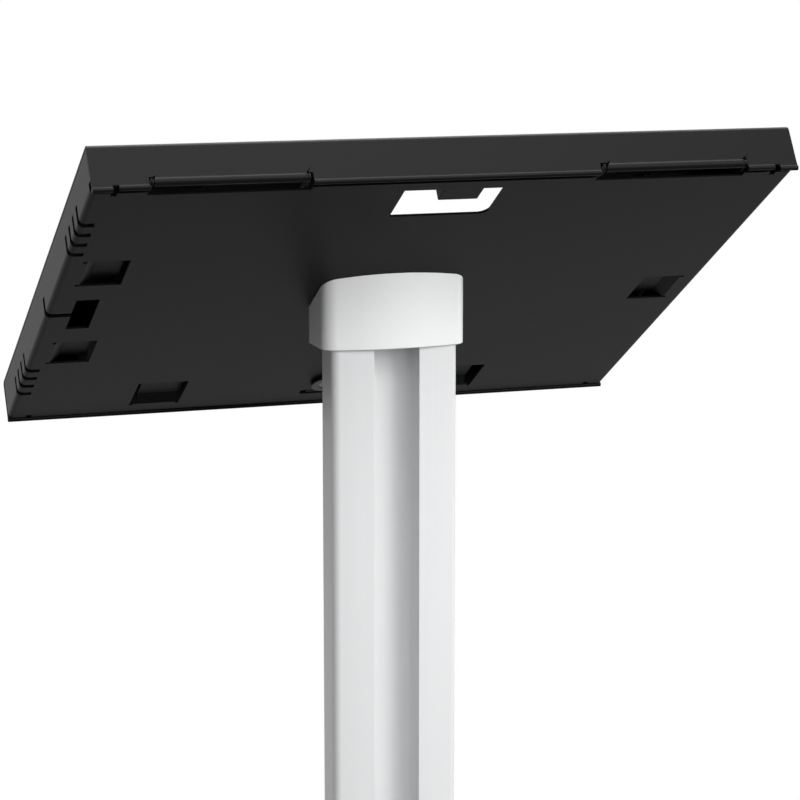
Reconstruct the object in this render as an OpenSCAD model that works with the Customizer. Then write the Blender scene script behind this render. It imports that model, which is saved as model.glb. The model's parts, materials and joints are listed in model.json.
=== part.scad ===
// Tablet security kiosk stand: a lockable sheet steel tablet case, tilted on a
// wedge collar, on an aluminium column that stands on a flat steel base.
// The user stands on the -Y side. The origin is under the middle of the base.
// The case is drawn flat, with its back plate on Z = 0 and its screen side up,
// and in_head() then carries it to its place on the column.

/* [Case] */
// Width of the case, side to side
case_w = 330; // [290:1:380]
// Height of the case, hinge edge to lock edge
case_h = 270; // [262:1:320]
// Thickness of the closed case
case_t = 21.2; // [20:0.2:26]
// Thickness of the folded steel sheet
sheet_t = 1.2; // [1:0.1:1.5]
// Outer radius of the folds
fold_r = 2.6; // [2:0.1:3.5]
// Angle of the case from the horizontal
tilt = 31.65; // [25:0.05:36]
// Height of the middle of the back plate over the floor
head_z = 1101; // [900:1:1250]

/* [Window] */
// Width of the screen window
window_w = 216; // [180:1:230]
// Height of the screen window
window_h = 164; // [150:1:170]
// Corner radius of the window
window_r = 5; // [2:0.5:10]
// Width of the foam gasket round the window
gasket_w = 12; // [8:1:16]
// Thickness of the foam gasket
gasket_t = 2; // [1:0.5:3]

/* [Cover hinge] */
// Length of each knuckle that is rolled from the cover's wall
roll_len = 68.2; // [50:0.2:74]
// Distance from the middle of the case to the middle of a knuckle
roll_x = 104.1; // [96:0.1:108]
// Outer diameter of the knuckle
roll_d = 4; // [3.6:0.1:4.6]
// Distance that the knuckle stands proud of the cover's wall
roll_out = 1.3; // [1:0.1:1.6]
// Height of the knuckle's middle over the outer face of the back plate
roll_z = 2.6; // [2.2:0.1:3]
// Diameter of the hinge pin
pin_d = 1.8; // [1.4:0.1:2.2]
// Thickness of the back shell's hinge ears
ear_t = 1; // [0.8:0.1:1.2]
// Length of the hinge ears on the back plate
ear_reach = 19; // [14:0.5:20]
// Width of the notch in the wall at a knuckle's outer end
outer_notch = 1.7; // [1.6:0.1:2.4]
// Width of the notch in the wall at a knuckle's inner end
inner_notch = 2.6; // [1.8:0.1:3]
// Depth of the plate's cutout under a knuckle, from the hinge axis
roll_cutout = 7.4; // [6.6:0.1:8.2]
// Diameter of the hem along the cover's walls
hem_d = 2.5; // [2.4:0.1:2.8]
// Distance that the hem stands proud of the wall
hem_out = 0.6; // [0.3:0.1:0.8]
// Height of the hem's middle over the outer face of the back plate
hem_z = 0.2; // [0:0.1:0.4]

/* [Back plate openings] */
// Depth of the openings in the plate's sides, across the case
side_hole_w = 20; // [16:0.5:22]
// Length of the openings in the plate's sides
side_hole_h = 26.5; // [22:0.5:30]
// Distance from the side of the case to those openings
side_hole_inset = 10; // [9:0.5:14]
// Distance of the paired side openings from the middle
side_hole_y = 46.5; // [42:0.5:56]
// Width of the openings near the lock edge
far_hole_w = 26; // [22:0.5:30]
// Depth of the openings near the lock edge
far_hole_h = 28; // [22:0.5:30]
// Distance from the lock edge of the case to those openings
far_hole_inset = 13; // [11:0.5:16]
// Distance of the right lock edge opening from the middle
far_hole_right = 90.5; // [80:0.5:96]
// Distance of the left lock edge opening from the middle
far_hole_left = 71; // [60:0.5:76]
// Rise of the offset tabs over the inside of the plate
tab_rise = 2.4; // [1:0.1:3]
// Gap round an offset tab
tab_gap = 1.1; // [0.8:0.1:2]
// Gap on the outer side of the tabs near the lock edge
far_tab_gap = 3.5; // [2:0.1:4]
// Width of the plain opening beside the slit
slot_w = 11; // [8:0.5:14]
// Length of the plain opening beside the slit
slot_h = 33.5; // [28:0.5:38]
// Distance from the side of the case to that opening
slot_inset = 12; // [10:0.5:16]
// Width of the slit that leads to it
slit_w = 4; // [1:0.1:5]
// Height that the slit and the vents climb up the side wall
vent_rise = 9.5; // [6:0.5:13]
// Number of vents in each group
vent_count = 4; // [2:1:5]
// Spacing of the vents
vent_pitch = 10.1; // [7:0.1:11]
// Distance from the middle of the case to the middle of a group
vent_y = 83.4; // [80:0.1:90]
// Width of a vent
vent_w = 3.6; // [1:0.1:4.5]
// Reach of a vent onto the back plate
vent_reach = 7; // [5:0.5:8]

/* [Cable ways] */
// Width of the cable opening at the hinge edge
port_w = 47; // [40:0.5:60]
// Depth of the cable opening at the hinge edge
port_h = 26.5; // [20:0.5:28]
// Distance from the hinge edge of the case to that opening
port_inset = 12.5; // [10:0.5:15]
// Sideways place of that opening
port_x = -1; // [-6:0.5:6]
// Radius of that opening's one round corner
port_r = 5; // [1:0.5:8]
// Width of the cable clip beside that opening
clip_w = 19; // [12:0.5:20]
// Length of the cable clip
clip_l = 19; // [16:0.5:20]
// Height of the cable clip
clip_h = 6.2; // [5:0.2:6.4]
// Sideways place of the cable clip
clip_x = -6.5; // [-8:0.5:8]
// Diameter of the cable that the clip holds
clip_bore = 3.6; // [3:0.2:4]
// Diameter of the cable grommet's hole
grommet_d = 12; // [9:0.5:12]
// Bore of the cable grommet
grommet_bore = 8; // [5:0.5:8.5]

/* [Lock] */
// Distance from the lock edge of the case to the lock's axis
lock_inset = 30; // [28:0.5:33]
// Diameter of the lock's outer rim
lock_rim_d = 19; // [18:0.5:22]
// Diameter of the lock's body
lock_body_d = 15.8; // [14:0.1:16]
// Diameter of the turning plug
plug_d = 11; // [9:0.5:12]
// Length of the lock inside the case
lock_len = 10; // [9:0.5:10.5]
// Reach of the lock's cam from its axis
cam_reach = 21; // [18:0.5:22]
// Width of the cam's arm
cam_w = 9; // [7:0.5:11]
// Width of the slot for the cover's tongue
tongue_slot_w = 20; // [16:0.5:26]
// Depth of the slot for the cover's tongue
tongue_slot_h = 4.6; // [4.2:0.2:6]

/* [Tablet bay] */
// Width of the tablet that the bay is packed for
tablet_w = 251; // [244:1:255]
// Height of that tablet
tablet_h = 175; // [165:1:180]
// Distance of the tablet's middle from the middle of the case, towards the hinge
bay_y = 5; // [0:0.5:15]
// Height of the foam pads under the tablet
pad_t = 7; // [6.5:0.5:8]
// Width of the foam corner blocks
corner_pad_w = 8; // [6:0.5:9]
// Length of the foam corner blocks' arms
corner_pad_l = 28; // [20:1:30]

/* [Collar] */
// Width of the collar
collar_w = 72; // [71:0.5:78]
// Height of the collar's bottom under the middle of the back plate
collar_drop = 19.7; // [19:0.1:24]
// Distance of the collar's rear face behind the middle of the back plate
collar_rear = 28; // [27.6:0.1:32]
// Distance of the collar's front in front of the middle of the back plate
collar_front = 28; // [27:0.5:29]
// Radius of the collar's bowed rear face
collar_rear_r = 132; // [120:1:250]
// Corner radius of the collar's rear edges
collar_corner_r = 8; // [7:0.5:10]
// Radius of the collar's round front
collar_front_r = 38; // [37:0.5:41]
// Width of the cable passage in the collar
passage_w = 18; // [17:0.5:20]
// Thickness of the steel plate inside the case over the collar
mount_plate_t = 2; // [1.5:0.5:2.5]

/* [Column] */
// Width of the column
column_w = 63.4; // [60:0.1:65]
// Depth of the column
column_d = 40.7; // [38:0.1:42]
// Wall of the column
column_wall = 2.5; // [2:0.1:3]
// Radius of the column's bowed rear face
column_rear_r = 220; // [180:1:400]
// Corner radius of the column's rear edges
column_corner_r = 4; // [3.5:0.5:5]
// Radius of the column's round front
column_front_r = 34.5; // [34:0.1:36]
// Width of the cable groove
groove_w = 22.7; // [18:0.1:24]
// Depth of the cable groove
groove_d = 17; // [12:0.5:18]
// Radius of the cable groove's floor fillets
groove_r = 6; // [3:0.5:8]
// Distance that the column stands inside the collar
column_in = 7.7; // [6:0.1:8]
// Diameter of the screws in the column's ends
port_screw_d = 6; // [5:0.5:6]

/* [Base] */
// Width of the base plate
base_w = 370; // [360:5:450]
// Depth of the base plate
base_d = 370; // [360:5:450]
// Thickness of the base plate
base_t = 8; // [6:1:12]
// Corner radius of the base plate
base_r = 20; // [5:1:30]
// Diameter of the floor anchor holes
anchor_d = 9; // [7:0.5:12]
// Distance from the base's edges to the anchor holes
anchor_inset = 25; // [20:1:35]
// Diameter of the rubber feet
foot_d = 30; // [20:1:36]
// Height of the rubber feet
foot_t = 4; // [2:0.5:6]
// Distance from the base's edges to the feet
foot_inset = 55; // [50:1:70]

/* [Clearances] */
// Gap between pieces that are set beside each other
part_gap = 0.3; // [0.2:0.05:0.4]
// Radial clearance of screws, pins and the lock's plug
fit_gap = 0.05; // [0.03:0.01:0.08]
// Gap between the cover's near wall and the side walls
wall_gap = 0.4; // [0.3:0.05:0.6]
// Gap between the cover's far wall and the back shell
swing_gap = 1.9; // [1.8:0.1:2.4]

/* [Hidden] */
$fn = 64;
eps = 0.01;
arc_overlap = 0.005;
big = 2 * (case_w + case_h);

black_paint = "#26272a";
silver_paint = "#d6d7d8";
bare_aluminium = "#c4c6c8";
steel = "#9a9c9f";
chrome = "#d9dcdf";
foam = "#3a3a3c";
rubber = "#1c1c1e";
black_plastic = "#141416";

// Levels and edges of the case, in its own flat frame
face_z = case_t - sheet_t;
side_wall_h = face_z - part_gap;
wall_in_y = case_h / 2 - sheet_t;
roll_y = case_h / 2 + roll_out - roll_d / 2;
hem_y = case_h / 2 + hem_out - hem_d / 2;
// At the case's corners the hem hangs lower
corner_hem_z = hem_z - 0.7;
// The plate stops short of the hinge axis, so the cover's hem can swing under it
hem_drop = norm([roll_y - hem_y, roll_z - corner_hem_z]);
hem_sweep = hem_drop + hem_d / 2;
plate_near_y = roll_y - hem_sweep - part_gap;
plate_far_y = -wall_in_y + swing_gap;
side_near_y = wall_in_y - wall_gap;
side_corner_r = fold_r - sheet_t - part_gap;
cover_swing = 100;
swing_notch_z = roll_z + hem_drop * sin(cover_swing - 90) + hem_d / 2 + part_gap;
ear_r = roll_d / 2 - 0.4;
notch_z = roll_z + ear_r + 0.4;
// Depth of the cuts beside a knuckle, well inside the near wall
roll_cut_in = 20;
corner_relief = 2.6;
corner_relief_x = case_w / 2 - 10.3;

// Plate openings
side_hole_x = case_w / 2 - side_hole_inset - side_hole_w / 2;
far_hole_y = -case_h / 2 + far_hole_inset + far_hole_h / 2;
slot_x = case_w / 2 - slot_inset - slot_w / 2;
port_y = case_h / 2 - port_inset - port_h / 2;
clip_y = plate_near_y - 1.6 - clip_l / 2;
tab_run = 1.6 * (tab_rise + sheet_t);
tab_corner_r = 4;

// Lock
lock_y = -case_h / 2 + lock_inset;
lock_rim_t = 2;
washer_t = 0.8;
nut_t = 3;
nut_d = 21;
cam_washer_t = 0.8;
cam_t = 1.6;
cam_z = lock_len + cam_washer_t;
cam_screw_d = 4;
cam_screw_head = 7;
cam_screw_head_t = 2.2;
keyway_w = 1.6;
keyway_l = 7.5;
keyway_depth = 5;

// Tongue of the cover, under the cam when it is locked
tongue_t = 1.5;
tongue_w = tongue_slot_w - 2;
tongue_slot_y = lock_y - lock_rim_d / 2 - 2.1 - tongue_slot_h / 2;
tongue_ledge_z = cam_z - part_gap - 0.2 - tongue_t;

// Places of the column, collar and base
column_front_y = -column_d / 2;
column_rear_y = column_d / 2;
column_z = foot_t + base_t;
head_y = column_rear_y - 25.2;
collar_z = head_z - collar_drop;
column_top = collar_z + column_in;
column_len = column_top - column_z;
rear_port = [20, column_rear_y - 6.8];
front_port = [18, column_front_y + 12.3];
screw_ports = [for (s = [-1, 1]) for (p = [rear_port, front_port]) [s * p[0], p[1]]];
port_boss_d = 9.6;
counterbore_d = port_screw_d + 5;
screw_head_t = 3.4;
rear_floor = 6;
front_floor = 2.6;
passage_front = head_y + 8.6;
passage_rear = head_y + 23.6;
grommet_y = 18.2;
grommet_flange = 15;
grommet_flange_t = 1.5;
head_screw_d = 5;
head_screw_head = 9.5;
head_screw_head_t = 2.7;
head_screw_x = 30;
head_screw_ys = [-1, 17];
head_screw_depth = 8;
mount_plate_w = 92;
mount_plate_h = 62;
mount_plate_y = 8;

module in_head() {
    translate([0, head_y, head_z]) rotate([tilt, 0, 0]) children();
}

// Draws a profile given in Y and Z along X
module along_x(len) {
    rotate([90, 0, 90]) linear_extrude(len, center = true) children();
}

// Draws a profile given in X and Z along Y, from y0 to y1
module along_y(y0, y1) {
    translate([0, y1, 0]) rotate([90, 0, 0]) linear_extrude(y1 - y0) children();
}

module box(x0, x1, y0, y1, z0, z1) {
    translate([x0, y0, z0]) cube([x1 - x0, y1 - y0, z1 - z0]);
}

module round_rect(w, h, r) {
    square([w - 2 * r, h], center = true);
    square([w, h - 2 * r], center = true);
    for (sx = [-1, 1]) for (sy = [-1, 1]) translate([sx * (w / 2 - r), sy * (h / 2 - r)]) circle(r);
}

// A tray profile with round lower corners, open towards +Y
module tray_fill(w, h, r) {
    translate([-w / 2, r]) square([w, h - r]);
    translate([-w / 2 + r, 0]) square([w - 2 * r, h]);
    for (s = [-1, 1]) translate([s * (w / 2 - r), r]) circle(r);
}

module tray(w, h, t, r) {
    difference() {
        tray_fill(w, h, r);
        translate([0, t]) tray_fill(w - 2 * t, h, r - t);
    }
}

// A flat-sided profile with a bowed rear and a round front. The corner circles
// stand a hair proud of the rear arc, so that the curves cross.
module d_fill(w, rear_y, rear_r, corner_r, front_y, front_r) {
    corner_x = w / 2 - corner_r;
    corner_y = rear_y - rear_r + sqrt(pow(rear_r - corner_r + arc_overlap, 2) - pow(corner_x, 2));
    tangent_x = corner_x * rear_r / (rear_r - corner_r);
    intersection() {
        translate([0, front_y + front_r]) circle(front_r, $fn = 96);
        union() {
            translate([-w / 2, front_y]) square([w, corner_y - front_y]);
            for (s = [-1, 1]) translate([s * corner_x, corner_y]) circle(corner_r);
            intersection() {
                translate([0, rear_y - rear_r]) circle(rear_r, $fn = 180);
                translate([-tangent_x, front_y]) square([2 * tangent_x, rear_y - front_y + 1]);
            }
        }
    }
}

// An offset tab lanced from the plate. Its root is on the +X side of an opening
// of width w, centred on the origin, and it is tab_w wide along Y.
module offset_tab(w, tab_w) {
    root = w / 2;
    tip = -w / 2 + tab_gap;
    low = sheet_t + tab_rise;
    intersection() {
        rotate([90, 0, 0]) linear_extrude(tab_w, center = true) polygon([
            [root + eps, 0], [root, 0], [root - tab_run, low], [tip, low],
            [tip, low + sheet_t], [root - tab_run + sheet_t / 2, low + sheet_t],
            [root + sheet_t / 2, sheet_t], [root + eps, sheet_t]]);
        union() {
            box(tip, root + 1, -tab_w / 2 + tab_corner_r, tab_w / 2, -1, low + 2 * sheet_t);
            box(tip + tab_corner_r, root + 1, -tab_w / 2, tab_w / 2, -1, low + 2 * sheet_t);
            translate([tip + tab_corner_r, tab_corner_r - tab_w / 2, -1])
                cylinder(low + 2 * sheet_t + 1, r = tab_corner_r);
        }
    }
}

// Opening for an offset tab, with relief notches beside the tab's root
module tab_opening(w, h) {
    notch = sheet_t + 0.4;
    box(-w / 2, w / 2, -h / 2, h / 2, -1, sheet_t + 1);
    for (s = [-1, 1]) translate([w / 2, s * (h - notch) / 2, 0])
        box(-1, notch, -notch / 2, notch / 2, -1, sheet_t + 1);
}

// Carries children to each opening with a tab: place, turn and size follow each other
module at_tab_openings() {
    for (s = [-1, 1]) translate([side_hole_x, s * side_hole_y, 0]) mirror([0, s < 0 ? 1 : 0, 0]) children(0);
    translate([-side_hole_x, 0, 0]) rotate([0, 0, 180]) children(0);
    translate([far_hole_right, far_hole_y, 0]) rotate([0, 0, -90]) children(1);
    translate([-far_hole_left, far_hole_y, 0]) rotate([0, 0, -90]) mirror([0, 1, 0]) children(1);
}

module vents() {
    for (s = [-1, 1]) for (i = [0 : vent_count - 1])
        translate([0, s * vent_y + (i - (vent_count - 1) / 2) * vent_pitch, 0])
            box(case_w / 2 - vent_reach, case_w / 2 + 1, -vent_w / 2, vent_w / 2, -1, vent_rise);
}

module at_rolls() {
    for (s = [-1, 1]) translate([s * roll_x, roll_y, roll_z]) mirror([s < 0 ? 1 : 0, 0, 0]) children();
}

// Carries children to both ends of both knuckles, with +X pointing away from the knuckle
module at_roll_ends() {
    at_rolls() {
        translate([roll_len / 2, 0, 0]) children(0);
        translate([-roll_len / 2, 0, 0]) mirror([1, 0, 0]) children(1);
    }
}

module pin_bores(len) {
    at_rolls() rotate([0, 90, 0]) cylinder(len, d = pin_d + 2 * fit_gap, center = true);
}

// A hinge ear that stands on the plate beside a knuckle and holds the end of its pin
module hinge_ear() {
    translate([part_gap, 0, 0]) {
        rotate([0, 90, 0]) cylinder(ear_t, r = ear_r);
        box(0, ear_t, -ear_reach, 0, sheet_t - roll_z - eps, ear_r);
    }
}

// Rounds the side walls' upper corners clear of the fold inside the cover
module side_corner_cut() {
    c = side_corner_r;
    translate([0, side_near_y - c, side_wall_h - c]) along_x(case_w + 2) difference() {
        square(c + 1);
        circle(c);
    }
}

// Outline of the cable opening: square corners but for one
module port_outline() {
    difference() {
        square([port_w, port_h], center = true);
        translate([-port_w / 2, -port_h / 2]) square(2 * port_r, center = true);
    }
    translate([port_r - port_w / 2, port_r - port_h / 2]) circle(port_r);
}

module back_shell() color(black_paint) in_head() difference() {
    union() {
        difference() {
            along_y(plate_far_y, side_near_y) tray(case_w, side_wall_h, sheet_t, fold_r);
            box(-big, big, plate_near_y, big, -1, swing_notch_z);
            side_corner_cut();
            at_tab_openings() {
                tab_opening(side_hole_w, side_hole_h);
                tab_opening(far_hole_h, far_hole_w);
            }
            translate([port_x, port_y, -1]) linear_extrude(sheet_t + 2) port_outline();
            at_rolls() box(-roll_len / 2 - inner_notch - sheet_t / 2, roll_len / 2 + outer_notch,
                -roll_cutout, big, -5, sheet_t + 1 - roll_z);
        }
        at_tab_openings() {
            offset_tab(side_hole_w, side_hole_h - 2 * tab_gap);
            translate([0, (part_gap - far_tab_gap) / 2, 0]) offset_tab(far_hole_h, far_hole_w - part_gap - far_tab_gap);
        }
        at_roll_ends() {
            hinge_ear();
            hinge_ear();
        }
    }
    pin_bores(roll_len + 2 * (part_gap + ear_t) + 1);
    for (s = [-1, 1]) translate([s * corner_relief_x, 0, 0]) {
        box(-corner_relief / 2, corner_relief / 2, plate_near_y - corner_relief, big, -1, sheet_t + 1);
        box(-corner_relief / 2, corner_relief / 2, -big, plate_far_y + corner_relief, -1, sheet_t + 1);
    }
    vents();
    translate([slot_x, 0, -1]) linear_extrude(sheet_t + 2) square([slot_w, slot_h], center = true);
    box(slot_x, case_w / 2 + 1, -slit_w / 2, slit_w / 2, -1, vent_rise);
    translate([0, lock_y, -1]) cylinder(sheet_t + 2, d = lock_body_d + 2 * fit_gap);
    translate([0, tongue_slot_y, -1]) linear_extrude(sheet_t + 2) {
        square([tongue_slot_w, tongue_slot_h], center = true);
        for (s = [-1, 1]) translate([s * tongue_slot_w / 2, 0]) circle(d = tongue_slot_h + 0.6);
    }
    translate([0, grommet_y, -1]) cylinder(sheet_t + 2, d = grommet_d);
    for (s = [-1, 1]) for (y = head_screw_ys) translate([s * head_screw_x, y, -1])
        cylinder(sheet_t + 2, d = head_screw_d + 2 * fit_gap);
}

// A wall's lower edge, rolled into a round hem
module hem(len) {
    translate([0, hem_y, hem_z]) rotate([0, 90, 0]) cylinder(len, d = hem_d, center = true);
}

// The near wall's hem hangs lower beyond the relief notches at the corners
module near_hem() {
    corner_w = case_w / 2 - corner_relief_x;
    hem(2 * corner_relief_x);
    for (s = [-1, 1]) translate([s * (case_w - corner_w) / 2, 0, 0]) {
        translate([0, hem_y, corner_hem_z]) rotate([0, 90, 0]) cylinder(corner_w, d = hem_d, center = true);
        box(-corner_w / 2, corner_w / 2, wall_in_y, case_h / 2, corner_hem_z, hem_z + 1);
    }
}

module front_cover() color(black_paint) in_head() difference() {
    union() {
        difference() {
            union() {
                translate([0, 0, case_t]) mirror([0, 0, 1]) along_x(case_w)
                    tray(case_h, case_t - hem_z, sheet_t, fold_r);
                near_hem();
                mirror([0, 1, 0]) hem(case_w);
            }
            translate([0, bay_y, face_z - 1]) linear_extrude(sheet_t + 2) round_rect(window_w, window_h, window_r);
            for (s = [-1, 1]) translate([s * corner_relief_x, 0, 0])
                box(-corner_relief / 2, corner_relief / 2, 0, big, -big, hem_z + hem_d / 2);
            at_rolls() box(-roll_len / 2 - eps, roll_len / 2 + eps, -roll_cut_in, big, -big, 0);
            at_roll_ends() {
                box(-eps, outer_notch, -roll_cut_in, big, -big, notch_z - roll_z);
                box(-eps, inner_notch, -roll_cut_in, big, -big, notch_z - roll_z);
            }
        }
        at_rolls() rotate([0, 90, 0]) cylinder(roll_len, d = roll_d, center = true);
    }
    pin_bores(roll_len + 1);
}

module hinge_pins() color(steel) in_head()
    at_rolls() rotate([0, 90, 0]) cylinder(roll_len + 2 * (part_gap + ear_t), d = pin_d, center = true);

module window_gasket() color(foam) in_head()
    translate([0, bay_y, face_z - gasket_t]) linear_extrude(gasket_t) difference() {
        round_rect(window_w + 2 * gasket_w, window_h + 2 * gasket_w, window_r + gasket_w / 2);
        round_rect(window_w + 2, window_h + 2, window_r + 1);
    }

// A folded tongue on the cover's far wall. Its tip stands in the plate's slot.
module strike_bracket() color(black_paint) in_head() {
    back_y = -wall_in_y;
    tip_y = tongue_slot_y + tongue_t / 2;
    box(-tongue_w / 2, tongue_w / 2, back_y, back_y + tongue_t, tongue_ledge_z, face_z - fold_r);
    box(-tongue_w / 2, tongue_w / 2, back_y, tip_y, tongue_ledge_z, tongue_ledge_z + tongue_t);
    box(-tongue_w / 2, tongue_w / 2, tip_y - tongue_t, tip_y, part_gap, tongue_ledge_z + eps);
}

module at_lock() in_head() translate([0, lock_y, 0]) children();

module lock_body() color(chrome) at_lock() difference() {
    union() {
        translate([0, 0, -lock_rim_t]) cylinder(lock_rim_t, d = lock_rim_d);
        cylinder(lock_len - 0.1, d = lock_body_d);
    }
    translate([0, 0, -lock_rim_t - 1]) cylinder(lock_len + lock_rim_t + 2, d = plug_d + 2 * fit_gap);
}

module lock_washer() color(steel) at_lock() translate([0, 0, sheet_t]) difference() {
    cylinder(washer_t, d = nut_d);
    translate([0, 0, -1]) cylinder(washer_t + 2, d = lock_body_d + 2 * fit_gap);
}

module lock_nut() color(steel) at_lock() translate([0, 0, sheet_t + washer_t]) difference() {
    cylinder(nut_t, d = nut_d, $fn = 6);
    translate([0, 0, -1]) cylinder(nut_t + 2, d = lock_body_d + 2 * fit_gap);
}

module lock_plug() color(chrome) at_lock() difference() {
    translate([0, 0, -lock_rim_t + 0.3]) cylinder(lock_rim_t - 0.3 + lock_len, d = plug_d);
    translate([0, 0, lock_len - 6]) cylinder(7, d = cam_screw_d + 2 * fit_gap);
    translate([0, 0, -lock_rim_t]) linear_extrude(keyway_depth) square([keyway_w, keyway_l], center = true);
}

module cam_washer() color(steel) at_lock() translate([0, 0, lock_len]) difference() {
    cylinder(cam_washer_t, d = plug_d + 1);
    translate([0, 0, -1]) cylinder(cam_washer_t + 2, d = cam_screw_d + 2 * fit_gap);
}

// The cam points sideways when the lock is open
module lock_cam() color(steel) at_lock() translate([0, 0, cam_z]) linear_extrude(cam_t) difference() {
    union() {
        circle(d = plug_d + 2);
        translate([0, -cam_w / 2]) square([cam_reach - cam_w / 2, cam_w]);
        translate([cam_reach - cam_w / 2, 0]) circle(d = cam_w);
    }
    circle(d = cam_screw_d + 2 * fit_gap);
}

module cam_screw() color(steel) at_lock() {
    translate([0, 0, lock_len - 5]) cylinder(5 + cam_washer_t + cam_t + eps, d = cam_screw_d);
    translate([0, 0, cam_z + cam_t]) difference() {
        cylinder(cam_screw_head_t, d = cam_screw_head);
        translate([0, 0, 1]) cylinder(cam_screw_head_t, d = 2.5, $fn = 6);
    }
}

// Four foam strips that carry the tablet clear of the mounting plate and screws
module foam_pads() color(foam) in_head()
    for (sx = [-1, 1]) for (sy = [-1, 1])
        translate([sx * (tablet_w / 2 - 40), bay_y + sy * (tablet_h / 2 - 22), sheet_t + pad_t / 2])
            cube([50, 20, pad_t], center = true);

// Foam blocks that hold the tablet's corners
module corner_pads() color(foam) in_head() translate([0, bay_y, 0])
    for (sx = [-1, 1]) for (sy = [-1, 1]) mirror([sx < 0 ? 1 : 0, 0, 0]) mirror([0, sy < 0 ? 1 : 0, 0])
        translate([tablet_w / 2 + 1, tablet_h / 2 + 1, sheet_t]) linear_extrude(face_z - gasket_t - sheet_t - 0.5) {
            translate([-corner_pad_l + corner_pad_w, 0]) square([corner_pad_l, corner_pad_w]);
            translate([0, -corner_pad_l + corner_pad_w]) square([corner_pad_w, corner_pad_l]);
        }

module mounting_plate() color(steel) in_head() translate([0, 0, sheet_t]) difference() {
    translate([0, mount_plate_y, 0]) linear_extrude(mount_plate_t) round_rect(mount_plate_w, mount_plate_h, 6);
    translate([0, grommet_y, -1]) cylinder(mount_plate_t + 2, d = grommet_d);
    for (s = [-1, 1]) for (y = head_screw_ys) translate([s * head_screw_x, y, -1])
        cylinder(mount_plate_t + 2, d = head_screw_d + 2 * fit_gap);
}

module head_screws() color(steel) in_head()
    for (s = [-1, 1]) for (y = head_screw_ys) translate([s * head_screw_x, y, 0]) {
        translate([0, 0, -head_screw_depth + 1]) cylinder(head_screw_depth - 1 + sheet_t + mount_plate_t + eps, d = head_screw_d);
        translate([0, 0, sheet_t + mount_plate_t]) difference() {
            cylinder(head_screw_head_t, d = head_screw_head);
            translate([0, 0, 1.2]) cylinder(head_screw_head_t, d = 3, $fn = 6);
        }
    }

module cable_grommet() color(rubber) in_head() translate([0, grommet_y, 0]) difference() {
    union() {
        translate([0, 0, -grommet_flange_t]) cylinder(grommet_flange_t, d = grommet_flange);
        cylinder(sheet_t + mount_plate_t, d = grommet_d - 0.2);
        translate([0, 0, sheet_t + mount_plate_t]) cylinder(grommet_flange_t, d = grommet_flange);
    }
    translate([0, 0, -5]) cylinder(20, d = grommet_bore);
}

// Clip on the back plate that holds the charging cable beside its opening
module cable_clip() color(black_plastic) in_head() translate([clip_x, clip_y, sheet_t]) difference() {
    box(-clip_w / 2, clip_w / 2, -clip_l / 2, clip_l / 2, 0, clip_h);
    translate([0, 0, clip_h - clip_bore * 0.8]) rotate([90, 0, 0]) cylinder(clip_l + 2, d = clip_bore, center = true);
    box(-clip_bore / 3, clip_bore / 3, -clip_l, clip_l, clip_h - clip_bore * 0.8, clip_h + 1);
}

module column_fill(inset) {
    d_fill(column_w - 2 * inset, column_rear_y - inset, column_rear_r - inset, column_corner_r - inset,
        column_front_y + inset, column_front_r - inset);
}

module groove_fill(w, d, r) {
    translate([0, column_rear_y - d]) tray_fill(w, d + 5, r);
}

// Slanted wedge between the column and the back plate
module collar() color(silver_paint) difference() {
    translate([0, head_y, collar_z]) linear_extrude(collar_drop + collar_rear)
        d_fill(collar_w, collar_rear, collar_rear_r, collar_corner_r, -collar_front, collar_front_r);
    in_head() translate([0, 0, big / 2]) cube(big, center = true);
    translate([0, 0, collar_z - 1]) linear_extrude(column_in + 1) column_fill(-0.15);
    translate([0, 0, collar_z - 1]) linear_extrude(collar_drop + collar_rear + 2)
        translate([-passage_w / 2, passage_front]) square([passage_w, passage_rear - passage_front]);
    for (p = screw_ports) translate([p[0], p[1], column_top]) {
        translate([0, 0, -1]) cylinder(collar_rear + collar_drop, d = port_screw_d + 2 * fit_gap);
        translate([0, 0, p[1] > 0 ? rear_floor : front_floor]) cylinder(collar_rear + collar_drop, d = counterbore_d);
    }
    in_head() for (s = [-1, 1]) for (y = head_screw_ys) translate([s * head_screw_x, y, -head_screw_depth])
        cylinder(head_screw_depth + 1, d = head_screw_d + 2 * fit_gap);
}

module collar_screws() color(steel)
    for (p = screw_ports) {
        floor_t = p[1] > 0 ? rear_floor : front_floor;
        translate([p[0], p[1], column_top]) {
            translate([0, 0, -14]) cylinder(14 + floor_t + eps, d = port_screw_d);
            translate([0, 0, floor_t]) difference() {
                cylinder(screw_head_t, d = port_screw_d + 4);
                translate([0, 0, 1.4]) cylinder(screw_head_t, d = 4.6, $fn = 6);
            }
        }
    }

module column() color(bare_aluminium) translate([0, 0, column_z]) linear_extrude(column_len) difference() {
    union() {
        difference() {
            column_fill(0);
            column_fill(column_wall);
        }
        intersection() {
            column_fill(0);
            union() {
                groove_fill(groove_w + 2 * column_wall, groove_d + column_wall, groove_r + column_wall);
                for (p = screw_ports) translate(p) circle(d = port_boss_d);
            }
        }
    }
    groove_fill(groove_w, groove_d, groove_r);
    for (p = screw_ports) translate(p) circle(d = port_screw_d + 2 * fit_gap);
}

module foot_screws() color(steel)
    for (p = screw_ports) translate([p[0], p[1], foot_t]) {
        difference() {
            translate([0, 0, 0.2]) cylinder(screw_head_t, d = port_screw_d + 5);
            translate([0, 0, -1]) cylinder(2.6, d = 4.6, $fn = 6);
        }
        translate([0, 0, screw_head_t]) cylinder(base_t - screw_head_t + 18, d = port_screw_d);
    }

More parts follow.
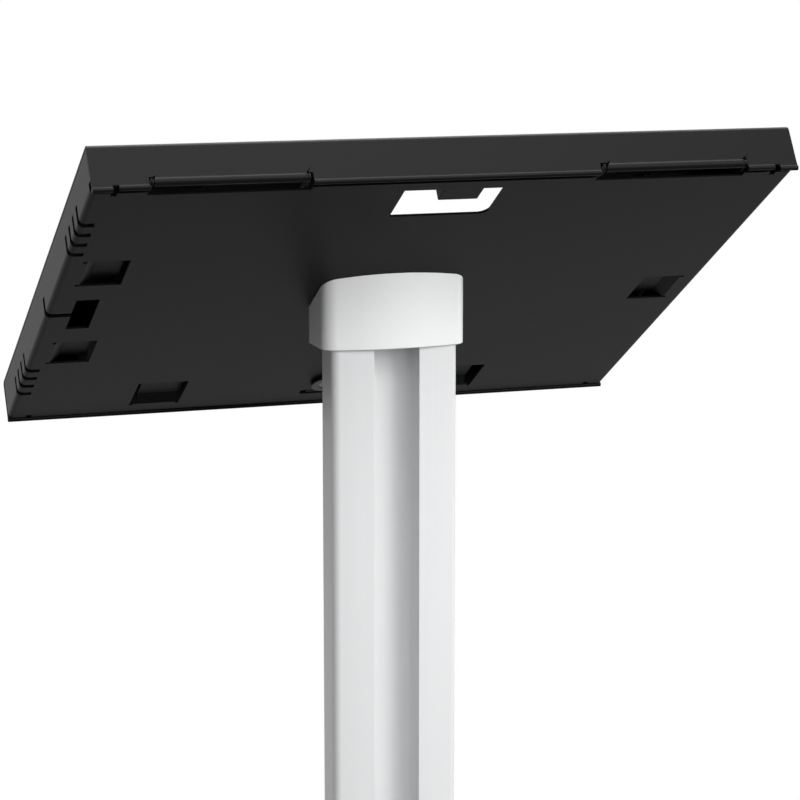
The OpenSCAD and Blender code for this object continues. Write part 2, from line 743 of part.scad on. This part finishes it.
module base_plate() color(black_paint) translate([0, 0, foot_t]) difference() {
    linear_extrude(base_t) round_rect(base_w, base_d, base_r);
    for (sx = [-1, 1]) for (sy = [-1, 1])
        translate([sx * (base_w / 2 - anchor_inset), sy * (base_d / 2 - anchor_inset), -1]) cylinder(base_t + 2, d = anchor_d);
    for (p = screw_ports) translate([p[0], p[1], -1]) {
        cylinder(base_t + 2, d = port_screw_d + 2 * fit_gap);
        cylinder(1 + screw_head_t + 0.2, d = port_screw_d + 5.4);
    }
}

module rubber_feet() color(rubber)
    for (sx = [-1, 1]) for (sy = [-1, 1])
        translate([sx * (base_w / 2 - foot_inset), sy * (base_d / 2 - foot_inset), 0]) cylinder(foot_t, d = foot_d);

back_shell();
front_cover();
hinge_pins();
window_gasket();
strike_bracket();
lock_body();
lock_washer();
lock_nut();
lock_plug();
cam_washer();
lock_cam();
cam_screw();
foam_pads();
corner_pads();
mounting_plate();
head_screws();
cable_grommet();
cable_clip();
collar();
collar_screws();
column();
foot_screws();
base_plate();
rubber_feet();
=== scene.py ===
import bpy
import bmesh
import json
import math
from mathutils import Matrix, Vector


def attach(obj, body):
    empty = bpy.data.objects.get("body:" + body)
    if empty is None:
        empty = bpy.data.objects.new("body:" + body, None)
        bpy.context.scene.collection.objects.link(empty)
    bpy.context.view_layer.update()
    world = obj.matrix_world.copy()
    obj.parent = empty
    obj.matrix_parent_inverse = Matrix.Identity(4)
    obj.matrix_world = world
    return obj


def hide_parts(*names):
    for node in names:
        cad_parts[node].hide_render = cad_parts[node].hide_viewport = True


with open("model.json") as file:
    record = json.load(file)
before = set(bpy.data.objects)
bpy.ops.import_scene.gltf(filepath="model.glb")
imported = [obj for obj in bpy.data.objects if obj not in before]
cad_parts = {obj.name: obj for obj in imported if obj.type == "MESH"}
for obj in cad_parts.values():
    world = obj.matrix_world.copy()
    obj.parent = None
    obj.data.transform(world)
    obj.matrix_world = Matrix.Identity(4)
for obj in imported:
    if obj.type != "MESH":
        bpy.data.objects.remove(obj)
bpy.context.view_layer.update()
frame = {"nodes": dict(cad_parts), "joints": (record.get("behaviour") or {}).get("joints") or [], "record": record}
print("frame loaded:", len(frame["nodes"]), "CAD nodes")


# Shader maths: a Wire is one socket with arithmetic, a Finish is a material being wired up

class Wire:
    def __init__(self, finish, socket):
        self.finish, self.socket = finish, socket

    def math(self, operation, first, second):
        return self.finish.add("ShaderNodeMath", {"operation": operation}, {0: first, 1: second})

    def __add__(self, other):
        return self.math("ADD", self, other)

    def __radd__(self, other):
        return self.math("ADD", other, self)

    def __sub__(self, other):
        return self.math("SUBTRACT", self, other)

    def __rsub__(self, other):
        return self.math("SUBTRACT", other, self)

    def __mul__(self, other):
        return self.math("MULTIPLY", self, other)

    def __rmul__(self, other):
        return self.math("MULTIPLY", other, self)


class Finish:
    def __init__(self, name):
        self.material = bpy.data.materials.new(name)
        self.material.use_nodes = True
        self.tree = self.material.node_tree
        self.tree.nodes.clear()
        self.place = self.add("ShaderNodeTexCoord", out="Object")

    def add(self, kind, settings=None, sockets=None, out=0):
        node = self.tree.nodes.new(kind)
        for key, value in (settings or {}).items():
            if key == "stops":
                ramp = node.color_ramp.elements
                for i, (position, colour) in enumerate(value):
                    stop = ramp[i] if i < len(ramp) else ramp.new(position)
                    stop.position, stop.color = position, colour
            else:
                setattr(node, key, value)
        for key, value in (sockets or {}).items():
            if isinstance(value, Wire):
                self.tree.links.new(value.socket, node.inputs[key])
            else:
                node.inputs[key].default_value = value
        return Wire(self, node.outputs[out]) if len(node.outputs) else None

    def stretched(self, x, y, z):                              # object coordinates, scaled along each axis
        return self.add("ShaderNodeMapping", sockets={"Vector": self.place, "Scale": (x, y, z)})

    def noise(self, scale, detail, roughness, at=None):
        sockets = {"Vector": at or self.place, "Scale": scale, "Detail": detail, "Roughness": roughness}
        return self.add("ShaderNodeTexNoise", sockets=sockets)

    def tint(self, factor, low, high):                         # a colour between two, by a factor
        stops = [(0.0, (*low, 1)), (1.0, (*high, 1))]
        return self.add("ShaderNodeValToRGB", {"stops": stops}, {0: factor})

    def bump(self, height, depth, strength):
        return self.add("ShaderNodeBump", sockets={"Height": height, "Distance": depth, "Strength": strength})

    def done(self, **sockets):
        names = {key.replace("_", " "): value for key, value in sockets.items()}
        shader = self.add("ShaderNodeBsdfPrincipled", sockets=names)
        self.add("ShaderNodeOutputMaterial", sockets={0: shader})
        return self.material


# Finishes: low and high are the two ends of the colour, rough the least roughness, depth the bump in metres,
# and the other numbers are noise scales, so that 1000 is about a millimetre

powder = {"low": (0.0031, 0.0031, 0.0033), "high": (0.0045, 0.0045, 0.0047), "rough": 0.38, "shine": 0.06,
          "grain": 1500, "peel": 260, "cloud": 9, "depth": 0.00006}


def powderCoat():
    f = Finish("powderCoat")
    grain = f.noise(powder["grain"], 2.0, 0.55)
    orangePeel = f.noise(powder["peel"], 1.0, 0.4)
    cloud = f.noise(powder["cloud"], 3.0, 0.6)
    colour = f.tint(grain * 0.5 + cloud * 0.5, powder["low"], powder["high"])
    height = grain * 0.6 + orangePeel * 0.4
    return f.done(Base_Color=colour, Roughness=grain * 0.10 + powder["rough"],
                  Normal=f.bump(height, powder["depth"], 0.6), Specular_IOR_Level=powder["shine"])


anodic = {"low": (0.64, 0.645, 0.65), "high": (0.72, 0.725, 0.73), "metal": 0.25, "rough": 0.40,
          "lines": 900, "wide": 60, "matt": 2600, "stretch": 0.004, "depth": 0.00002}


def anodisedAluminium():
    f = Finish("anodisedAluminium")
    along = f.stretched(1, 1, anodic["stretch"])               # drawing lines run up the column
    lines = f.noise(anodic["lines"], 3.0, 0.6, along)
    wide = f.noise(anodic["wide"], 2.0, 0.5, along)
    matt = f.noise(anodic["matt"], 1.0, 0.5)
    colour = f.tint(lines * 0.5 + wide * 0.5, anodic["low"], anodic["high"])
    return f.done(Base_Color=colour, Metallic=anodic["metal"],
                  Roughness=lines * 0.10 + wide * 0.08 + anodic["rough"],
                  Normal=f.bump(lines * 0.7 + matt * 0.3, anodic["depth"], 0.5))


paint = {"low": (0.80, 0.804, 0.81), "high": (0.88, 0.884, 0.89), "metal": 0.2, "rough": 0.42,
         "flakes": 3200, "cloud": 14, "peel": 420, "depth": 0.00002}


def silverPaint():
    f = Finish("silverPaint")
    flakes = f.noise(paint["flakes"], 1.0, 0.5)
    cloud = f.noise(paint["cloud"], 2.0, 0.5)
    peel = f.noise(paint["peel"], 1.0, 0.4)
    colour = f.tint(flakes * 0.5 + cloud * 0.5, paint["low"], paint["high"])
    return f.done(Base_Color=colour, Metallic=paint["metal"], Roughness=flakes * 0.1 + paint["rough"],
                  Normal=f.bump(peel, paint["depth"], 0.4))


plating = {"low": (0.12, 0.124, 0.128), "high": (0.19, 0.194, 0.199), "metal": 0.7, "rough": 0.42,
           "spangle": 700, "scuff": 90, "depth": 0.00001}


def zincSteel():
    f = Finish("zincSteel")
    spangle = f.noise(plating["spangle"], 3.0, 0.6)
    scuff = f.noise(plating["scuff"], 2.0, 0.5)
    colour = f.tint(spangle, plating["low"], plating["high"])
    return f.done(Base_Color=colour, Metallic=plating["metal"], Roughness=scuff * 0.22 + plating["rough"],
                  Normal=f.bump(spangle, plating["depth"], 0.4))


lockMetal = {"rough": 0.24, "shine": 0.15, "haze": 300, "turned": 2400, "depth": 0.00001}
# The lock body is near black, about as dark as the powder coat, in place of the chrome of the lock.
bodyTone = {"low": (0.004, 0.004, 0.0042), "high": (0.008, 0.008, 0.0082), "metal": 0.2}
plugTone = {"low": (0.06, 0.06, 0.062), "high": (0.10, 0.10, 0.103), "metal": 0.9}


def lockFinish(name, low, high, metal):
    f = Finish(name)
    haze = f.noise(lockMetal["haze"], 2.0, 0.5)
    turned = f.noise(lockMetal["turned"], 2.0, 0.6)
    return f.done(Base_Color=f.tint(haze, low, high), Metallic=metal,
                  Roughness=turned * 0.10 + haze * 0.08 + lockMetal["rough"],
                  Normal=f.bump(turned, lockMetal["depth"], 0.3), Specular_IOR_Level=lockMetal["shine"])


moulding = {"low": (0.0045, 0.0045, 0.0048), "high": (0.0070, 0.0070, 0.0073), "rough": 0.50, "shine": 0.12,
            "spark": 1400, "cloud": 40, "depth": 0.00002}


def mouldedPlastic():
    f = Finish("mouldedPlastic")
    spark = f.noise(moulding["spark"], 2.0, 0.6)               # fine spark-eroded grain of the mould
    cloud = f.noise(moulding["cloud"], 2.0, 0.5)
    colour = f.tint(cloud, moulding["low"], moulding["high"])
    return f.done(Base_Color=colour, Roughness=spark * 0.12 + moulding["rough"],
                  Normal=f.bump(spark, moulding["depth"], 0.4), Specular_IOR_Level=moulding["shine"])


sponge = {"low": (0.020, 0.020, 0.021), "high": (0.042, 0.042, 0.044), "rough": 0.86,
          "cells": 1600, "grain": 5200, "depth": 0.0002}


def cellFoam():
    f = Finish("cellFoam")
    cells = f.add("ShaderNodeTexVoronoi", sockets={"Vector": f.place, "Scale": sponge["cells"]})
    grain = f.noise(sponge["grain"], 1.0, 0.5)
    colour = f.tint(cells * 0.7 + grain * 0.3, sponge["low"], sponge["high"])
    return f.done(Base_Color=colour, Roughness=grain * 0.1 + sponge["rough"],
                  Normal=f.bump(cells, sponge["depth"], 0.6))


footRubber = {"low": (0.016, 0.016, 0.017), "high": (0.026, 0.026, 0.027), "rough": 0.6,
              "grain": 1800, "depth": 0.00004}


def softRubber():
    f = Finish("softRubber")
    grain = f.noise(footRubber["grain"], 2.0, 0.5)
    colour = f.tint(grain, footRubber["low"], footRubber["high"])
    return f.done(Base_Color=colour, Roughness=grain * 0.14 + footRubber["rough"],
                  Normal=f.bump(grain, footRubber["depth"], 0.4))


coat, anodised, silver = powderCoat(), anodisedAluminium(), silverPaint()
zinc, foam, rubber, plastic = zincSteel(), cellFoam(), softRubber(), mouldedPlastic()
nearBlackLock, plugNickel = lockFinish("nearBlackLockBody", **bodyTone), lockFinish("plugNickel", **plugTone)
print("finishes made")


# Making pieces: a mesh from a bmesh, an object in the scene, and a piece that stands for a CAD node

def meshFrom(bm, name):
    mesh = bpy.data.meshes.new(name)
    bm.to_mesh(mesh)
    bm.free()
    return mesh


def placed(name, data):
    thing = bpy.data.objects.new(name, data)
    bpy.context.scene.collection.objects.link(thing)
    return thing


def bodyOf(nodeName):
    return next(body for body, nodes in frame["record"]["behaviour"]["bodies"].items() if nodeName in nodes)


def standIn(mesh, name, material, nodeName):
    piece = placed(name, mesh)
    mesh.materials.clear()
    mesh.materials.append(material)
    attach(piece, bodyOf(nodeName))
    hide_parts(nodeName)
    return piece


# Rigid nodes: each is dressed, and those that show get their edges rounded on a merged copy

rounding = {"merge": 3e-5, "tiny": 1e-6, "sliver": 1e-5,       # metres
            "flat": 0.6, "bend": 28,                           # degrees: flatter is one face, sharper a bend
            "strength": 80,                                    # how much larger faces weigh in the normals
            "whole": ("base_plate", "front_cover", "mounting_plate")}      # big flat faces stay in one piece


def trueNormal(face):                                          # a sliver takes the one past its longest edge
    longest = max(face.edges, key=lambda e: e.calc_length())
    if 2 * face.calc_area() / longest.calc_length() > rounding["sliver"]:
        return face.normal
    return next((other.normal for other in longest.link_faces if other is not face), face.normal)


def markBends(bm):                                             # only real bends are rounded
    weight = bm.edges.layers.float.new("bevel_weight_edge")
    for e in bm.edges:
        if len(e.link_faces) == 2:
            one, two = (trueNormal(face) for face in e.link_faces)
            e[weight] = 1.0 if one.angle(two, 0.0) > math.radians(rounding["bend"]) else 0.0


def roundedCopy(nodeName, material, edge, steps=2):
    bm = bmesh.new()
    bm.from_mesh(frame["nodes"][nodeName].data)
    bmesh.ops.remove_doubles(bm, verts=bm.verts, dist=rounding["merge"])
    bmesh.ops.dissolve_degenerate(bm, dist=rounding["tiny"], edges=bm.edges)
    bmesh.ops.dissolve_limit(bm, verts=bm.verts, edges=bm.edges, angle_limit=math.radians(rounding["flat"]))
    if nodeName not in rounding["whole"]:
        bmesh.ops.triangulate(bm, faces=[f for f in bm.faces if len(f.verts) > 4], ngon_method="BEAUTY")
    markBends(bm)
    mesh = meshFrom(bm, nodeName + "Rounded")
    mesh.shade_smooth()
    piece = standIn(mesh, nodeName + "Rounded", material, nodeName)
    soften = piece.modifiers.new("edges", "BEVEL")
    soften.width, soften.segments, soften.limit_method = edge, steps, "WEIGHT"
    soften.use_clamp_overlap, soften.harden_normals = False, False
    soften.miter_outer, soften.face_strength_mode = "MITER_ARC", "FSTR_ALL"
    evened = piece.modifiers.new("normals", "WEIGHTED_NORMAL")     # flat faces stay flat, the bevel turns
    evened.keep_sharp, evened.weight, evened.use_face_influence = True, rounding["strength"], True
    return piece


dressed = {"back_shell": coat, "front_cover": coat, "base_plate": coat, "strike_bracket": coat,
           "collar": silver, "column": anodised, "lock_body": nearBlackLock, "lock_plug": plugNickel,
           "lock_washer": zinc, "lock_nut": zinc, "cam_washer": zinc, "lock_cam": zinc, "cam_screw": zinc,
           "hinge_pins": zinc, "mounting_plate": zinc, "head_screws": zinc, "collar_screws": zinc,
           "foot_screws": zinc, "cable_clip": plastic, "cable_grommet": rubber, "rubber_feet": rubber,
           "foam_pads": foam, "corner_pads": foam, "window_gasket": foam}
for nodeName, material in dressed.items():
    slots = frame["nodes"][nodeName].data.materials
    for i in range(len(slots)):
        slots[i] = material

edges = {"back_shell": 0.00018, "front_cover": 0.00018, "strike_bracket": 0.00018, "base_plate": 0.0006,
         "collar": 0.0005, "column": 0.00035, "lock_body": 0.0004, "lock_plug": 0.00015,
         "mounting_plate": 0.0002, "cable_grommet": 0.0005, "cable_clip": 0.0005, "rubber_feet": 0.0008}
for nodeName, edge in edges.items():
    roundedCopy(nodeName, dressed[nodeName], edge)
print("rigid pieces dressed:", len(dressed), "and rounded:", len(edges))


# The case's own frame: its middle is the middle of the back plate, with Y to the hinge and Z into the case

hingeAxis = {"along": 0.1343, "into": 0.0026}                  # from the plate's middle, in metres


def joint(name):
    return next(j for j in frame["joints"] if j["name"] == name)


def caseFrame():
    outward = Vector(joint("lock_turn")["axis"]).normalized()
    up = Vector((0, -outward.z, outward.y))
    middle = Vector(joint("cover_hinge")["pos_m"]) - up * hingeAxis["along"] + outward * hingeAxis["into"]
    turn = Matrix((Vector((1, 0, 0)), up, -outward)).transposed().to_4x4()
    return Matrix.Translation(middle) @ turn


inCase = caseFrame()


# Foam pieces: cut from sheet foam, with corners that have gone soft

pads = {"voxel": 0.0012, "passes": 6, "pull": 0.5, "fill": {"foam_pads": 0.9, "corner_pads": 0.95}}
gasket = {"edge": 0.0006, "steps": 3, "fill": 0.9}


def softCopy(nodeName):
    bm = bmesh.new()
    bm.from_mesh(frame["nodes"][nodeName].data)
    bmesh.ops.remove_doubles(bm, verts=bm.verts, dist=rounding["tiny"])
    bmesh.ops.transform(bm, matrix=inCase.inverted(), verts=bm.verts)      # the voxels lie along the foam
    holder = placed(nodeName + "Rough", meshFrom(bm, nodeName + "Rough"))
    grid = holder.modifiers.new("grid", "REMESH")
    grid.mode, grid.voxel_size, grid.use_smooth_shade = "VOXEL", pads["voxel"], True
    worn = holder.modifiers.new("worn", "SMOOTH")
    worn.factor, worn.iterations = pads["pull"], pads["passes"]
    mesh = bpy.data.meshes.new_from_object(holder.evaluated_get(bpy.context.evaluated_depsgraph_get()))
    bpy.data.objects.remove(holder)
    mesh.name = nodeName + "Foam"
    mesh.transform(inCase)
    standIn(mesh, nodeName + "Foam", foam, nodeName)


for nodeName, fill in pads["fill"].items():
    softCopy(nodeName)
roundedCopy("window_gasket", foam, gasket["edge"], gasket["steps"])
print("foam pieces made:", len(pads["fill"]) + 1)


# The photograph's camera: metres from the middle of the back plate, degrees, and millimetres of lens

photoView = {"aside": 0.3797, "behind": 1.1716, "above": 0.1792, "turn": 18.39, "down": 10.52,
             "lens": 114.6, "sensor": 36, "nearest": 0.05, "furthest": 100}


def photoCamera():
    lens = bpy.data.cameras.new("photoCamera")
    lens.lens, lens.sensor_width = photoView["lens"], photoView["sensor"]
    lens.clip_start, lens.clip_end = photoView["nearest"], photoView["furthest"]
    camera = placed("photoCamera", lens)
    offset = Vector((photoView["aside"], photoView["behind"], photoView["above"]))
    camera.location = inCase.translation + offset
    turn, down = math.radians(photoView["turn"]), math.radians(photoView["down"])
    look = Vector((-math.sin(turn) * math.cos(down), -math.cos(turn) * math.cos(down), -math.sin(down)))
    camera.rotation_euler = look.to_track_quat("-Z", "Y").to_euler()
    bpy.context.scene.camera = camera


photoCamera()


# Studio: a pale floor that fades into white surroundings, and soft round lamps

floorLook = {"half": 14, "middle": (0.15, 0.9, 0.0), "fadeFrom": 1.3, "fadeTo": 3.4, "rough": 0.9,
             "pale": (0.38, 0.38, 0.38),                       # what the camera and mirroring surfaces see
             "deep": (0.045, 0.045, 0.045)}                    # what lights the object from below
surround = {"fill": 0.05, "white": (1, 1, 1, 1)}
aim = (0, 0, 0.95)
lamps = {"key": ((-1.5, 2.8, 2.3), 2.2, 83), "left": ((1.8, 2.6, 2.3), 2.2, 13),      # place, size and watts
         "side": ((-3.0, 0.3, 1.4), 2.0, 22), "top": ((-0.2, -0.6, 2.5), 1.6, 62),
         "back": ((-0.3, 1.5, 3.2), 2.0, 70), "front": ((1.2, -2.6, 2.4), 1.8, 18)}


def lamp(name, place, size, watts):
    light = bpy.data.lights.new(name, "AREA")
    light.shape, light.size, light.energy = "DISK", size, watts
    holder = placed(name, light)
    holder.location = place
    holder.rotation_euler = (Vector(aim) - Vector(place)).to_track_quat("-Z", "Y").to_euler()


def whiteRays(tree):                                           # 1 for rays that see the white background
    kinds = tree.nodes.new("ShaderNodeLightPath").outputs
    seen = kinds["Is Camera Ray"]
    for name in ("Is Glossy Ray", "Is Transmission Ray"):
        either = tree.nodes.new("ShaderNodeMath")
        either.operation = "MAXIMUM"
        tree.links.new(seen, either.inputs[0])
        tree.links.new(kinds[name], either.inputs[1])
        seen = either.outputs[0]
    return seen


def studioWorld():
    world = bpy.data.worlds.new("studio")
    bpy.context.scene.world = world
    world.use_nodes = True
    tree = world.node_tree
    tree.nodes.clear()
    soft, plain = tree.nodes.new("ShaderNodeBackground"), tree.nodes.new("ShaderNodeBackground")
    soft.inputs["Color"].default_value = plain.inputs["Color"].default_value = surround["white"]
    soft.inputs["Strength"].default_value, plain.inputs["Strength"].default_value = surround["fill"], 1.0
    pick, out = tree.nodes.new("ShaderNodeMixShader"), tree.nodes.new("ShaderNodeOutputWorld")
    tree.links.new(whiteRays(tree), pick.inputs[0])
    tree.links.new(soft.outputs[0], pick.inputs[1])
    tree.links.new(plain.outputs[0], pick.inputs[2])
    tree.links.new(pick.outputs[0], out.inputs[0])


def floorFinish():
    f = Finish("floor")
    offset = f.add("ShaderNodeVectorMath", {"operation": "SUBTRACT"}, {0: f.place, 1: floorLook["middle"]})
    away = f.add("ShaderNodeVectorMath", {"operation": "LENGTH"}, {0: offset}, out="Value")
    fade = f.add("ShaderNodeMapRange", {"interpolation_type": "SMOOTHSTEP"},
                 {"Value": away, "From Min": floorLook["fadeFrom"], "From Max": floorLook["fadeTo"]})
    seen = Wire(f, whiteRays(f.tree))
    colour = f.tint(seen, floorLook["deep"], floorLook["pale"])
    matt = f.add("ShaderNodeBsdfPrincipled",
                 sockets={"Base Color": colour, "Roughness": floorLook["rough"], "Specular IOR Level": 0.0})
    white = f.add("ShaderNodeEmission", sockets={"Color": surround["white"], "Strength": 1.0})
    both = f.add("ShaderNodeMixShader", sockets={0: fade * seen, 1: matt, 2: white})
    f.add("ShaderNodeOutputMaterial", sockets={0: both})
    return f.material


def paleFloor():
    bm = bmesh.new()
    bmesh.ops.create_grid(bm, x_segments=1, y_segments=1, size=floorLook["half"])
    mesh = meshFrom(bm, "floor")
    mesh.materials.append(floorFinish())
    placed("floor", mesh)


studioWorld()
paleFloor()
for name, (place, size, watts) in lamps.items():
    lamp(name + "Lamp", place, size, watts)
bpy.context.scene.view_settings.view_transform = "Standard"
print("camera and studio ready")
